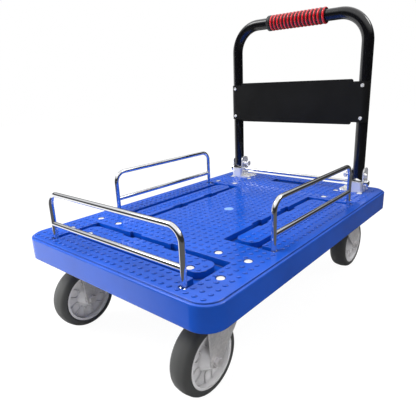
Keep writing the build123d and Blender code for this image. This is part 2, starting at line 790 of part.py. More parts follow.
pedal_top = crown_under - 2
pedal_tip = trail + pedal_reach
flange_half = fork_inner - 0.5
with BuildPart() as brake_pedal:
    throat = trail + tab_reach + 2
    with BuildSketch(Plane.XY.offset(pedal_top)):
        with Locations((throat, 0)):
            Rectangle(pedal_tip - throat, pedal_width, align=(Align.MIN, Align.CENTER))
        fillet(vertices().group_by(Axis.X)[-1], 8)
        with Locations((pedal_pivot[0] - 10, 0)):
            Rectangle(throat - pedal_pivot[0] + 12, 2 * flange_half, align=(Align.MIN, Align.CENTER))
    extrude(amount=-pedal_wall)
    # Two inner flanges turn on the pivot pin.
    for side in (-1, 1):
        with BuildSketch(
            Plane((0, side * flange_half, 0), x_dir=(1, 0, 0), z_dir=(0, -1, 0))
        ):
            with Locations(pedal_pivot):
                Circle(pedal_eye_radius)
            with Locations((pedal_pivot[0], pedal_top - pedal_wall)):
                Rectangle(
                    2 * pedal_eye_radius,
                    pedal_top - pedal_wall - pedal_pivot[1],
                    align=(Align.CENTER, Align.MAX),
                )
        extrude(amount=side * pedal_wall)
    # The shoe bar that bears on the tyre when the pedal goes down.
    with BuildSketch(Plane.XZ):
        with Locations((pedal_pivot[0] + shoe_offset, pedal_top - pedal_wall)):
            Rectangle(shoe_wall, shoe_drop, align=(Align.CENTER, Align.MAX))
    extrude(amount=tyre_width / 2, both=True)
    with BuildSketch(Plane((pedal_pivot[0], 0, pedal_pivot[1]), z_dir=(0, 1, 0))):
        Circle(pedal_pin_radius + running)
    extrude(amount=fork_outer, both=True, mode=Mode.SUBTRACT)

with BuildPart() as pedal_pins:
    for x, z in pedal_pin_spots:
        with BuildSketch(Plane((x, 0, z), z_dir=(0, 1, 0))):
            Circle(pedal_pin_radius)
        extrude(amount=fork_outer, both=True)
        for side in (-1, 1):
            with BuildSketch(Plane((x, side * fork_outer, z), z_dir=(0, side, 0))):
                Circle(pedal_pin_radius + 2)
            extrude(amount=2, taper=20)

plain_fork = make_fork(False)
braked_fork = make_fork(True)
for corner, corner_name in corner_names.items():
    front, left = corner
    seat = Location((front * caster_x, left * caster_y, 0), (0, 0, 0 if front > 0 else 180))
    pieces = {
        "top_plate": top_plate.part,
        "ball_race": ball_race.part,
        "seal_ring": seal_ring.part,
        "fork": plain_fork if front > 0 else braked_fork,
        "axle_bolt": axle_bolt.part,
        "hub_bushing": hub_bushing.part,
        "wheel_core": wheel_core.part,
        "tyre": tyre.part,
    }
    if front < 0:
        pieces["brake_pedal"] = brake_pedal.part
        pieces["pedal_pins"] = pedal_pins.part
    for piece_name, piece in pieces.items():
        write(piece.moved(seat), f"{corner_name}_{piece_name}")

with BuildPart() as caster_bolts:
    with GridLocations(2 * caster_x, 2 * caster_y, 2, 2):
        with GridLocations(plate_bolt_x, plate_bolt_y, 2, 2):
            with Locations((0, 0, deck_top - bolt_seat)):
                Cylinder(bolt_head_radius, bolt_head, align=(Align.CENTER, Align.CENTER, Align.MIN))
                Cylinder(
                    bolt_radius,
                    deck_top - bolt_seat - plate_under + nut_height + 2,
                    align=(Align.CENTER, Align.CENTER, Align.MAX),
                )
    fillet(caster_bolts.faces().group_by(Axis.Z)[-1].edges(), bolt_head * 0.6)
write(caster_bolts.part, "caster_bolts")

with BuildPart() as caster_nuts:
    with BuildSketch(Plane.XY.offset(plate_under)):
        with GridLocations(2 * caster_x, 2 * caster_y, 2, 2):
            with GridLocations(plate_bolt_x, plate_bolt_y, 2, 2):
                RegularPolygon(hexagon_radius(nut_flats), 6)
                Circle(bolt_radius, mode=Mode.SUBTRACT)
    extrude(amount=-nut_height)
write(caster_nuts.part, "caster_nuts")

king_pin_set = [
    king_pin.part.moved(Location((front * caster_x, left * caster_y, 0))).solid()
    for front, left in corner_names
]
write(Compound(children=king_pin_set), "king_pins")
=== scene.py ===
"""Flatbed platform truck: finishes, deck tread, handle grip, tyres, studio and camera.

Metres. +X is the front of the truck, +Y is its left side and +Z is up. The origin is on
the floor, under the middle of the deck.
"""

import math

import bpy
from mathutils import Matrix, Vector
from mathutils.bvhtree import BVHTree


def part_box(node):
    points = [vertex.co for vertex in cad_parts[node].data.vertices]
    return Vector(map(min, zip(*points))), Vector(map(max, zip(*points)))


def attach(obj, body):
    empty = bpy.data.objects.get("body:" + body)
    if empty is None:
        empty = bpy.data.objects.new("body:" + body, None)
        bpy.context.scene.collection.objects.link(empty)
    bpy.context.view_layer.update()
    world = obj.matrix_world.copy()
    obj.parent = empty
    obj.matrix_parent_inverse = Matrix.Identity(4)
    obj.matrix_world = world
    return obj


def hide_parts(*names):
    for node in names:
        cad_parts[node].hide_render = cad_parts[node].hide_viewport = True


bl_info = {
    "name": "Platform Truck Finish",
    "version": (1, 0, 0),
    "blender": (4, 5, 0),
    "location": "View3D > Sidebar > Truck",
    "description": "Tread, grip, tyres, finishes and studio for a folding platform truck",
    "category": "Object",
}

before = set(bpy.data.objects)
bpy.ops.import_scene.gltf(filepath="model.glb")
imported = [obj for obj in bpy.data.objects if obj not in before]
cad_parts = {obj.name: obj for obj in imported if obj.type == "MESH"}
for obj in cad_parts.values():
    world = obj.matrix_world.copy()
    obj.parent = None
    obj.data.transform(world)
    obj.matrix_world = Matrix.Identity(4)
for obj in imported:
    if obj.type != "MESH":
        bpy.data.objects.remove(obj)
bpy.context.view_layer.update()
DECK_LOW, DECK_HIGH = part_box("deck")
GRIP_LOW, GRIP_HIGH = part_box("grip")
CORNERS = ("front_left", "front_right", "rear_left", "rear_right")

# Linear colours of dust as it lies on each kind of surface.
DUST_ON_PLASTIC = (0.42, 0.41, 0.40)
DUST_ON_CHROME = (0.50, 0.49, 0.48)
DUST_ON_ZINC = (0.45, 0.44, 0.43)


# ---------------------------------------------------------------- properties


def length(name, description, default):
    """A size in metres that a user may change."""
    return bpy.props.FloatProperty(
        name=name, description=description, default=default, min=0.0, precision=4, unit="LENGTH"
    )


def tint(name, description, default):
    """A linear colour that a user may change."""
    return bpy.props.FloatVectorProperty(
        name=name, description=description, default=default, subtype="COLOR", min=0.0, max=1.0
    )


class TruckSizes(bpy.types.PropertyGroup):
    stud_pitch: length("Stud pitch", "From one tread stud to the next", 0.020)
    stud_length: length("Stud length", "Along a stud", 0.0112)
    stud_width: length("Stud width", "Across a stud", 0.0074)
    stud_height: length("Stud height", "How far a stud stands up", 0.0024)
    ring_width: length("Ring width", "Along the grip, over one red ring", 0.0066)
    ring_pitch: length("Ring pitch", "From one red ring to the next", 0.0125)
    first_ring: length("First ring", "From the grip's right end to the first ring", 0.018)
    last_ring: length("End ring", "From the grip's left end to the last ring", 0.004)
    tread_crown: length("Tread crown", "How far a tyre's tread falls to its shoulders", 0.0012)
    shoulder: length("Tyre shoulder", "Radius of a tyre's shoulders", 0.014)


class TruckColours(bpy.types.PropertyGroup):
    deck_blue: tint("Deck blue", "Moulded deck", (0.002, 0.068, 0.45))
    plug_blue: tint("Plug blue", "Plug in the middle of the deck", (0.16, 0.30, 0.80))
    chrome: tint("Chrome", "Guards, brackets and release bar", (0.86, 0.87, 0.89))
    steel: tint("Steel", "Bolts, rivets and pins", (0.86, 0.86, 0.87))
    spring: tint("Spring", "Torsion springs", (0.30, 0.30, 0.31))
    zinc: tint("Zinc", "Forks, plates and pedals", (0.80, 0.78, 0.78))
    enamel: tint("Enamel", "Handle tube", (0.003, 0.003, 0.004))
    panel: tint("Panel", "Handle panel", (0.007, 0.007, 0.007))
    grip: tint("Grip", "Grip sleeve", (0.012, 0.012, 0.013))
    ring: tint("Ring", "Rings on the grip", (0.50, 0.010, 0.018))
    seal: tint("Seal", "Ring round the ball race", (0.90, 0.19, 0.012))
    core: tint("Core", "Wheel core", (0.82, 0.81, 0.82))
    tyre: tint("Tyre", "Tyre tread", (0.070, 0.071, 0.070))
    floor: tint("Floor", "Studio floor", (0.55, 0.55, 0.55))


# ---------------------------------------------------------------- modelling helpers


def clear_selection():
    for item in bpy.context.selected_objects:
        item.select_set(False)


def draw_profile(points):
    """A new object in edit mode, with one chain of edges through the points."""
    clear_selection()
    bpy.ops.mesh.primitive_plane_add(size=0.001, location=points[0])
    bpy.ops.object.mode_set(mode="EDIT")
    bpy.ops.mesh.merge(type="CENTER")
    for start, end in zip(points, points[1:]):
        bpy.ops.mesh.extrude_region_move(TRANSFORM_OT_translate={"value": end - start})
    return bpy.context.object


def turn_profile(points, centre, axis, steps):
    """A closed body of revolution. The last point of the profile is the first again."""
    piece = draw_profile(points)
    bpy.ops.mesh.select_all(action="SELECT")
    bpy.ops.mesh.spin(steps=steps, angle=math.tau, center=centre, axis=axis)
    bpy.ops.mesh.select_all(action="SELECT")
    bpy.ops.mesh.remove_doubles(threshold=1e-6)
    bpy.ops.mesh.normals_make_consistent(inside=False)
    bpy.ops.object.mode_set(mode="OBJECT")
    return piece


def settle(piece, name, material, body, replaced=()):
    """Names a finished piece, puts its place into its mesh and hands it to its body."""
    clear_selection()
    piece.select_set(True)
    bpy.context.view_layer.objects.active = piece
    bpy.ops.object.transform_apply(location=True, rotation=True, scale=True)
    bpy.ops.object.shade_smooth_by_angle(angle=math.radians(40))
    piece.name = name
    piece.data.name = name
    piece.data.materials.clear()
    piece.data.materials.append(bpy.data.materials[f"{material}_finish"])
    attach(piece, body)
    if replaced:
        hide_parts(*replaced)


def apply_array(piece, count, step):
    """Copies the piece count times along step."""
    array = piece.modifiers.new("Row", "ARRAY")
    array.use_relative_offset = False
    array.use_constant_offset = True
    array.constant_offset_displace = step
    array.count = count
    bpy.context.view_layer.objects.active = piece
    bpy.ops.object.modifier_apply(modifier=array.name)


# ---------------------------------------------------------------- shader groups


def add_node(tree, kind, **settings):
    node = tree.nodes.new(kind)
    for key, value in settings.items():
        setattr(node, key, value)
    return node


def start_group(name, inputs, outputs):
    """An empty shader group with its sockets, and its two end nodes."""
    group = bpy.data.node_groups.new(name, "ShaderNodeTree")
    for socket_name, default in inputs:
        socket = group.interface.new_socket(
            name=socket_name, in_out="INPUT", socket_type="NodeSocketFloat"
        )
        socket.default_value = default
    for socket_name in outputs:
        group.interface.new_socket(
            name=socket_name, in_out="OUTPUT", socket_type="NodeSocketFloat"
        )
    return group, add_node(group, "NodeGroupInput"), add_node(group, "NodeGroupOutput")


def ramp(tree, source, low, high, out_low=0.0, out_high=1.0):
    """A Map Range node from low..high to out_low..out_high, fed by source."""
    node = add_node(tree, "ShaderNodeMapRange")
    for socket, value in zip(node.inputs[1:5], (low, high, out_low, out_high)):
        socket.default_value = value
    tree.links.new(source, node.inputs[0])
    return node.outputs[0]


def noise(tree, place, scale, detail=3.0, roughness=0.55):
    """A Noise Texture's value. Scale is a number or a socket."""
    node = add_node(tree, "ShaderNodeTexNoise")
    tree.links.new(place, node.inputs["Vector"])
    if isinstance(scale, float):
        node.inputs["Scale"].default_value = scale
    else:
        tree.links.new(scale, node.inputs["Scale"])
    node.inputs["Detail"].default_value = detail
    node.inputs["Roughness"].default_value = roughness
    return node.outputs[0]


def math_node(tree, operation, first, second):
    node = add_node(tree, "ShaderNodeMath", operation=operation)
    for socket, value in zip(node.inputs, (first, second)):
        if isinstance(value, float):
            socket.default_value = value
        else:
            tree.links.new(value, socket)
    return node.outputs[0]


def make_moulded_skin():
    """Grain and slow colour change of a moulded surface."""
    group, given, out = start_group(
        "Moulded skin", (("Grain", 1200.0), ("Patch", 7.0)), ("Tone", "Height")
    )
    place = add_node(group, "ShaderNodeTexCoord").outputs["Object"]
    group.links.new(noise(group, place, given.outputs["Patch"], 4.0), out.inputs["Tone"])
    group.links.new(noise(group, place, given.outputs["Grain"], 2.0), out.inputs["Height"])


def make_edge_wear_and_highlight():
    """Edges turned within Radius, broken up by noise: rubbed wear on most finishes, a painted
    highlight on the deck's rim.
    """
    group, given, out = start_group("Edge wear", (("Radius", 0.0015), ("Breakup", 60.0)), ("Mask",))
    bevel = add_node(group, "ShaderNodeBevel", samples=4)
    group.links.new(given.outputs["Radius"], bevel.inputs["Radius"])
    geometry = add_node(group, "ShaderNodeNewGeometry")
    dot = add_node(group, "ShaderNodeVectorMath", operation="DOT_PRODUCT")
    group.links.new(bevel.outputs["Normal"], dot.inputs[0])
    group.links.new(geometry.outputs["Normal"], dot.inputs[1])
    turned = ramp(group, dot.outputs["Value"], 0.995, 0.85)
    place = add_node(group, "ShaderNodeTexCoord").outputs["Object"]
    patchy = ramp(group, noise(group, place, given.outputs["Breakup"], 5.0), 0.35, 0.70)
    group.links.new(math_node(group, "MULTIPLY", turned, patchy), out.inputs["Mask"])


def make_settled_dust():
    """Dust on what faces up, thicker in soft patches."""
    group, given, out = start_group("Settled dust", (("Patch", 9.0), ("Amount", 0.2)), ("Mask",))
    split = add_node(group, "ShaderNodeSeparateXYZ")
    geometry = add_node(group, "ShaderNodeNewGeometry")
    group.links.new(geometry.outputs["Normal"], split.inputs[0])
    upward = ramp(group, split.outputs["Z"], 0.30, 0.95)
    place = add_node(group, "ShaderNodeTexCoord").outputs["Object"]
    patchy = ramp(group, noise(group, place, given.outputs["Patch"], 6.0, 0.65), 0.35, 0.75)
    mask = math_node(group, "MULTIPLY", upward, patchy)
    group.links.new(
        math_node(group, "MULTIPLY", mask, given.outputs["Amount"]), out.inputs["Mask"]
    )


def make_recess_shade():
    """Painted shade in grooves and round studs: 1 in a tight recess, 0 in the open."""
    group, given, out = start_group("Recess shade", (("Reach", 0.012),), ("Mask",))
    closeness = add_node(group, "ShaderNodeAmbientOcclusion", samples=8, only_local=True)
    group.links.new(given.outputs["Reach"], closeness.inputs["Distance"])
    group.links.new(ramp(group, closeness.outputs["AO"], 0.95, 0.45), out.inputs["Mask"])


def make_rub_lines():
    """Fine hairlines along X and along Z, as left by wiping and polishing."""
    group, given, out = start_group("Rub lines", (("Density", 90.0),), ("Mask",))
    place = add_node(group, "ShaderNodeTexCoord").outputs["Object"]
    lines = []
    for stretch in ((0.05, 1.0, 1.0), (1.0, 1.0, 0.05)):
        mapping = add_node(group, "ShaderNodeMapping")
        mapping.inputs["Scale"].default_value = stretch
        mapping.inputs["Rotation"].default_value = (0.3, 0.2, 0.5)
        group.links.new(place, mapping.inputs["Vector"])
        fine = noise(group, mapping.outputs[0], given.outputs["Density"], 6.0, 0.7)
        lines.append(ramp(group, fine, 0.52, 0.72))
    group.links.new(math_node(group, "MAXIMUM", *lines), out.inputs["Mask"])


def make_zinc_bloom():
    """The faint crystals and cloudy patches of zinc plating."""
    group, given, out = start_group("Zinc bloom", (("Crystal", 260.0),), ("Tone", "Gloss"))
    place = add_node(group, "ShaderNodeTexCoord").outputs["Object"]
    cells = add_node(group, "ShaderNodeTexVoronoi")
    group.links.new(place, cells.inputs["Vector"])
    group.links.new(given.outputs["Crystal"], cells.inputs["Scale"])
    split = add_node(group, "ShaderNodeSeparateColor")
    group.links.new(cells.outputs["Color"], split.inputs[0])
    cloud = noise(group, place, 24.0, 5.0)
    blend = math_node(group, "MULTIPLY", split.outputs[0], 0.35)
    group.links.new(math_node(group, "ADD", blend, cloud), out.inputs["Tone"])
    group.links.new(cloud, out.inputs["Gloss"])


# ---------------------------------------------------------------- materials


def start_material(name, metallic):
    """The finish for one slot: a material's nodes and its Principled shader."""
    material = bpy.data.materials.new(f"{name}_finish")
    material.use_nodes = True
    shader = material.node_tree.nodes["Principled BSDF"]
    shader.inputs["Metallic"].default_value = metallic
    return material.node_tree, shader


def place_group(tree, name, **values):
    node = add_node(tree, "ShaderNodeGroup", node_tree=bpy.data.node_groups[name])
    for key, value in values.items():
        node.inputs[key].default_value = value
    return node


def blend_colours(tree, factor, first, second):
    """Mix of two colours, each a triple or a socket."""
    node = add_node(tree, "ShaderNodeMix", data_type="RGBA")
    tree.links.new(factor, node.inputs["Factor"])
    for socket, value in zip((node.inputs[6], node.inputs[7]), (first, second)):
        if isinstance(value, tuple):
            socket.default_value = (*value, 1.0)
        else:
            tree.links.new(value, socket)
    return node.outputs[2]


def shade(colour, factor):
    """The colour, lighter or darker."""
    return tuple(min(1.0, part * factor) for part in colour)


def add_bump(tree, shader, height, distance, rounding=0.0):
    """Fine relief, and edges that shine as if rounded."""
    bump = add_node(tree, "ShaderNodeBump")
    bump.inputs["Distance"].default_value = distance
    if rounding:
        bevel = add_node(tree, "ShaderNodeBevel", samples=6)
        bevel.inputs["Radius"].default_value = rounding
        tree.links.new(bevel.outputs["Normal"], bump.inputs["Normal"])
    tree.links.new(height, bump.inputs["Height"])
    tree.links.new(bump.outputs["Normal"], shader.inputs["Normal"])


def make_moulded(name, colour, roughness, grain=1200.0, depth=0.00002, spread=0.12, dust=0.1,
                 wear=0.35, coat=0.0, specular=0.5, rounding=0.0, recess=0.3):
    """A moulded plastic or rubber: mottled colour, pale edges (worn, and a painted highlight on the
    deck), dust, painted shade in recesses and fine grain.
    """
    tree, shader = start_material(name, 0.0)
    skin = place_group(tree, "Moulded skin", Grain=grain)
    tone = ramp(tree, skin.outputs["Tone"], 0.3, 0.7)
    body = blend_colours(tree, tone, shade(colour, 1 - spread), shade(colour, 1 + spread))
    # Pale edges: rubbing wear, and on the deck a painted highlight along the rim and groove edges.
    edges = place_group(tree, "Edge wear", Radius=0.0022)
    worn = ramp(tree, edges.outputs["Mask"], 0.0, 1.0, 0.0, wear)
    pale = tuple(part * 0.9 + 0.12 for part in colour)
    worn_and_highlit = blend_colours(tree, worn, body, pale)
    dusting = place_group(tree, "Settled dust", Amount=dust)
    dusty = blend_colours(tree, dusting.outputs["Mask"], worn_and_highlit, DUST_ON_PLASTIC)
    # Painted shade: the base colour darkens in grooves and round studs, where ambient occlusion
    # finds a recess.
    recess_shade_mask = place_group(tree, "Recess shade").outputs["Mask"]
    shaded = ramp(tree, recess_shade_mask, 0.0, 1.0, 0.0, recess)
    dark = blend_colours(tree, shaded, dusty, shade(colour, 0.25))
    tree.links.new(dark, shader.inputs["Base Color"])
    rough = ramp(tree, skin.outputs["Tone"], 0.3, 0.7, roughness * 0.85, roughness * 1.2)
    tree.links.new(
        math_node(tree, "ADD", rough, dusting.outputs["Mask"]), shader.inputs["Roughness"]
    )
    shader.inputs["Coat Weight"].default_value = coat
    shader.inputs["Coat Roughness"].default_value = 0.08
    shader.inputs["Specular IOR Level"].default_value = specular
    add_bump(tree, shader, skin.outputs["Height"], depth, rounding)


def make_plated(name, colour, roughness, spread=0.04, lines=0.05, dust=0.03):
    """Bright plated metal with hairlines, slight clouding and a little dust."""
    tree, shader = start_material(name, 1.0)
    skin = place_group(tree, "Moulded skin", Grain=500.0, Patch=14.0)
    tone = ramp(tree, skin.outputs["Tone"], 0.3, 0.7)
    body = blend_colours(tree, tone, shade(colour, 1 - spread), shade(colour, 1 + spread))
    dusting = place_group(tree, "Settled dust", Amount=dust)
    dusty = blend_colours(tree, dusting.outputs["Mask"], body, DUST_ON_CHROME)
    tree.links.new(dusty, shader.inputs["Base Color"])
    rubs = place_group(tree, "Rub lines")
    rough = ramp(tree, rubs.outputs["Mask"], 0.0, 1.0, roughness, roughness + lines)
    tree.links.new(
        math_node(tree, "ADD", rough, dusting.outputs["Mask"]), shader.inputs["Roughness"]
    )
    add_bump(tree, shader, skin.outputs["Height"], 0.000004)


def make_zinc(name, colour, roughness, spread=0.14, metallic=0.55):
    """Satin zinc plating: crystals, cloudy gloss and worn bright edges."""
    tree, shader = start_material(name, metallic)
    bloom = place_group(tree, "Zinc bloom")
    tone = ramp(tree, bloom.outputs["Tone"], 0.35, 0.95)
    body = blend_colours(tree, tone, shade(colour, 1 - spread), shade(colour, 1 + spread))
    edges = place_group(tree, "Edge wear", Radius=0.0010)
    worn = ramp(tree, edges.outputs["Mask"], 0.0, 1.0, 0.0, 0.6)
    bright = blend_colours(tree, worn, body, shade(colour, 1.35))
    dusting = place_group(tree, "Settled dust", Amount=0.10)
    dusty = blend_colours(tree, dusting.outputs["Mask"], bright, DUST_ON_ZINC)
    tree.links.new(dusty, shader.inputs["Base Color"])
    rough = ramp(tree, bloom.outputs["Gloss"], 0.3, 0.7, roughness * 0.8, roughness * 1.25)
    tree.links.new(
        math_node(tree, "ADD", rough, dusting.outputs["Mask"]), shader.inputs["Roughness"]
    )
    add_bump(tree, shader, bloom.outputs["Tone"], 0.00003)


class TRUCK_OT_finishes(bpy.types.Operator):
    """Makes the finishes and puts them on the pieces that come from the frame"""

    bl_idname = "truck.finishes"
    bl_label = "Finishes"

    def execute(self, context):
        colours = context.scene.truck_colours

        def pick(name):
            return tuple(getattr(colours, name))

        make_moulded_skin()
        make_edge_wear_and_highlight()
        make_settled_dust()
        make_rub_lines()
        make_recess_shade()
        make_zinc_bloom()
        # On the deck, wear=0.6 paints a pale highlight along the rim and groove edges, and
        # recess=0.85 paints shade in the grooves and round the studs.
        make_moulded("blue_plastic", pick("deck_blue"), 0.17, grain=700.0, dust=0.03, wear=0.6,
                     coat=0.3, rounding=0.003, recess=0.85)
        make_moulded("blue_plug", pick("plug_blue"), 0.30, dust=0.05)
        make_moulded("black_paint", pick("enamel"), 0.16, grain=320.0, depth=0.00004, dust=0.04,
                     wear=0.10, coat=0.5)
        make_moulded("black_plastic", pick("panel"), 0.38, dust=0.01, wear=0.06, specular=0.2)
        make_moulded("black_rubber", pick("grip"), 0.42, dust=0.06, wear=0.10)
        make_moulded("red_rubber", pick("ring"), 0.22, dust=0.03, wear=0.10, coat=0.4)
        make_moulded("orange_plastic", pick("seal"), 0.30, dust=0.05)
        make_moulded("grey_plastic", pick("core"), 0.20, dust=0.02, wear=0.1, coat=0.4,
                     rounding=0.0015)
        make_moulded("grey_tyre", pick("tyre"), 0.52, grain=500.0, depth=0.00005, spread=0.18,
                     dust=0.06, wear=0.12, specular=0.3)
        make_plated("chrome", pick("chrome"), 0.045)
        make_zinc("steel", pick("steel"), 0.24, spread=0.05)
        make_plated("spring_steel", pick("spring"), 0.30, spread=0.12, lines=0.15)
        make_zinc("zinc", pick("zinc"), 0.36)
        for slot, nodes in node_slots().items():
            for name in nodes:
                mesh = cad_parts[name].data
                mesh.materials.clear()
                mesh.materials.append(bpy.data.materials[f"{slot}_finish"])
        return {"FINISHED"}


def node_slots():
    """The frame's pieces under the finish that each one has."""
    slots = {
        "blue_plastic": ["deck"],
        "blue_plug": ["deck_plug"],
        "black_paint": ["handle_tube"],
        "black_plastic": ["handle_panel"],
        "black_rubber": ["grip"],
        "red_rubber": ["grip_rings"],
        "chrome": ["front_guard", "left_guard", "right_guard", "release_bar", "release_caps"],
        "steel": ["left_bracket", "right_bracket", "guard_pins", "panel_rivets",
                  "bracket_screws", "pivot_bolts", "pivot_nuts", "caster_bolts"],
        "spring_steel": ["release_springs"],
        "zinc": ["caster_nuts", "king_pins", "rear_left_brake_pedal", "rear_right_brake_pedal",
                 "rear_left_pedal_pins", "rear_right_pedal_pins"],
        "orange_plastic": [],
        "grey_plastic": [],
        "grey_tyre": [],
    }
    for corner in CORNERS:
        slots["zinc"] += [f"{corner}_{part}" for part in ("top_plate", "ball_race", "fork",
                                                          "axle_bolt")]
        slots["orange_plastic"].append(f"{corner}_seal_ring")
        slots["grey_plastic"] += [f"{corner}_wheel_core", f"{corner}_hub_bushing"]
        slots["grey_tyre"].append(f"{corner}_tyre")
    return slots


# ---------------------------------------------------------------- pieces

STUD_TURN = math.radians(135)
STUD_MARGIN = 0.0008  # flat deck that a stud needs round it
LOOK_FROM = 0.05  # height over the deck from which it is searched
FLATNESS = 0.0002


class TRUCK_OT_deck_tread(bpy.types.Operator):
    """Models the raised studs on the load surface"""

    bl_idname = "truck.deck_tread"
    bl_label = "Deck tread"

    def execute(self, context):
        sizes = context.scene.truck_sizes
        pitch = sizes.stud_pitch
        columns = round((DECK_HIGH.x - DECK_LOW.x) / pitch) - 1
        rows = round((DECK_HIGH.y - DECK_LOW.y) / pitch)
        columns += columns % 2
        first = Vector((-(columns - 1) * pitch / 2, -(rows - 1) * pitch / 2, DECK_HIGH.z))
        clear_selection()
        bpy.ops.mesh.primitive_uv_sphere_add(segments=12, ring_count=8, radius=0.5)
        stud = context.object
        stud.scale = (sizes.stud_length, sizes.stud_width, 2 * sizes.stud_height)
        stud.rotation_euler = (0, 0, STUD_TURN)
        bpy.ops.object.transform_apply(location=True, rotation=True, scale=True)
        bpy.ops.object.mode_set(mode="EDIT")
        bpy.ops.mesh.select_all(action="SELECT")
        bpy.ops.mesh.bisect(
            plane_co=(0, 0, 0), plane_no=(0, 0, 1), use_fill=True, clear_inner=True
        )
        bpy.ops.object.mode_set(mode="OBJECT")
        stud.location = first
        bpy.ops.object.transform_apply(location=True, rotation=False, scale=False)
        in_one = len(stud.data.vertices)
        apply_array(stud, columns, (pitch, 0, 0))
        apply_array(stud, rows, (0, pitch, 0))
        surfaces = self.find_surfaces()
        keep = [
            self.is_flat(surfaces, first.x + column * pitch, first.y + row * pitch, sizes)
            for row in range(rows)
            for column in range(columns)
        ]
        for vertex in stud.data.vertices:
            vertex.select = not keep[vertex.index // in_one]
        for edge in stud.data.edges:
            edge.select = not keep[edge.vertices[0] // in_one]
        for face in stud.data.polygons:
            face.select = not keep[face.vertices[0] // in_one]
        bpy.ops.object.mode_set(mode="EDIT")
        bpy.ops.mesh.delete(type="VERT")
        bpy.ops.object.mode_set(mode="OBJECT")
        settle(stud, "deck_tread", "blue_plastic", "chassis")
        return {"FINISHED"}

    @staticmethod
    def find_surfaces():
        """Search trees of what a stud could sit on or run into."""
        graph = bpy.context.evaluated_depsgraph_get()
        names = ("deck", "deck_plug", "left_bracket", "right_bracket", "bracket_screws",
                 "caster_bolts")
        return [BVHTree.FromObject(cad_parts[name], graph) for name in names]

    @staticmethod
    def is_flat(surfaces, x, y, sizes):
        """True where the whole footprint of a stud lies on the bare load surface."""
        along = Vector((-1, 1, 0)).normalized() * (sizes.stud_length / 2 + STUD_MARGIN)
        across = Vector((1, 1, 0)).normalized() * (sizes.stud_width / 2 + STUD_MARGIN)
        for offset in (Vector(), along, -along, across, -across):
            start = Vector((x, y, DECK_HIGH.z + LOOK_FROM)) + offset
            hits = [tree.ray_cast(start, Vector((0, 0, -1)))[0] for tree in surfaces]
            heights = [hit.z for hit in hits if hit]
            if not heights or abs(max(heights) - DECK_HIGH.z) > FLATNESS:
                return False
            if not hits[0] or abs(hits[0].z - DECK_HIGH.z) > FLATNESS:
                return False
        return True


BORE_GAP = 0.00003  # between the sleeve and the tube
RING_COUNT = 15
RING_STAND = 0.0026  # from the sleeve's surface to the top of a ring
SEAT_DEPTH = 0.0006
RING_INSIDE = 0.001
RING_ARC_STEPS = 8
RING_FULLNESS = 0.6  # 1 is a half circle, and less is squarer
RIB = ((0.25, 0.0009), (0.5, 0.0013), (0.75, 0.0009))  # share of the gap, and height
GRIP_STEPS = 40


class TRUCK_OT_grip(bpy.types.Operator):
    """Models the ribbed grip sleeve and its red rings"""

    bl_idname = "truck.grip"
    bl_label = "Grip"

    def execute(self, context):
        sizes = context.scene.truck_sizes
        middle = (GRIP_LOW + GRIP_HIGH) / 2
        bore = (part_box("handle_tube")[1].z - middle.z) + BORE_GAP
        rim = (GRIP_HIGH.z - GRIP_LOW.z) / 2
        valley = rim - RING_STAND
        seat = valley - SEAT_DEPTH
        start, end = GRIP_LOW.y, GRIP_HIGH.y
        half = sizes.ring_width / 2
        first = start + sizes.first_ring
        last = end - sizes.last_ring
        seats = [first + index * sizes.ring_pitch for index in range(RING_COUNT - 1)] + [last]

        def point(y, radius):
            return Vector((middle.x, y, middle.z + radius))

        # The plain collar at the right end, then a seat for each ring with a low rib after it.
        outline = [point(start, bore), point(start, rim - 0.0025),
                   point(start + 0.0008, rim - 0.0010), point(start + 0.0025, rim - 0.0003),
                   point(first - half - 0.0040, rim - 0.0004),
                   point(first - half - 0.0020, valley)]
        for one, after in zip(seats, seats[1:]):
            gap = after - one - sizes.ring_width
            outline.append(point(one + half, seat))
            outline += [point(one + half + gap * part, valley + rise) for part, rise in RIB]
            outline.append(point(after - half, seat))
        outline += [point(end, seat), point(end, bore), point(start, bore)]
        sleeve = turn_profile(outline, middle, (0, 1, 0), GRIP_STEPS)
        settle(sleeve, "grip_sleeve", "black_rubber", "handle", ("grip",))
        ring_points = []
        for step in range(RING_ARC_STEPS + 1):
            turn = math.pi * step / RING_ARC_STEPS
            height = (rim - seat) * math.sin(turn) ** RING_FULLNESS
            ring_points.append(point(first - half * math.cos(turn), seat + height))
        ring_points += [point(first + half, bore + RING_INSIDE),
                        point(first - half, bore + RING_INSIDE), ring_points[0]]
        rings = turn_profile(ring_points, middle, (0, 1, 0), GRIP_STEPS)
        bpy.ops.object.transform_apply(location=True, rotation=True, scale=True)
        in_one = len(rings.data.vertices)
        apply_array(rings, RING_COUNT, (0, sizes.ring_pitch, 0))
        # The last ring stands apart, at the sleeve's left end.
        shift = last - (first + (RING_COUNT - 1) * sizes.ring_pitch)
        for vertex in rings.data.vertices:
            if vertex.index >= in_one * (RING_COUNT - 1):
                vertex.co.y += shift
        settle(rings, "grip_bands", "red_rubber", "handle", ("grip_rings",))
        return {"FINISHED"}


TYRE_STEPS = 96
SHOULDER_STEPS = 6


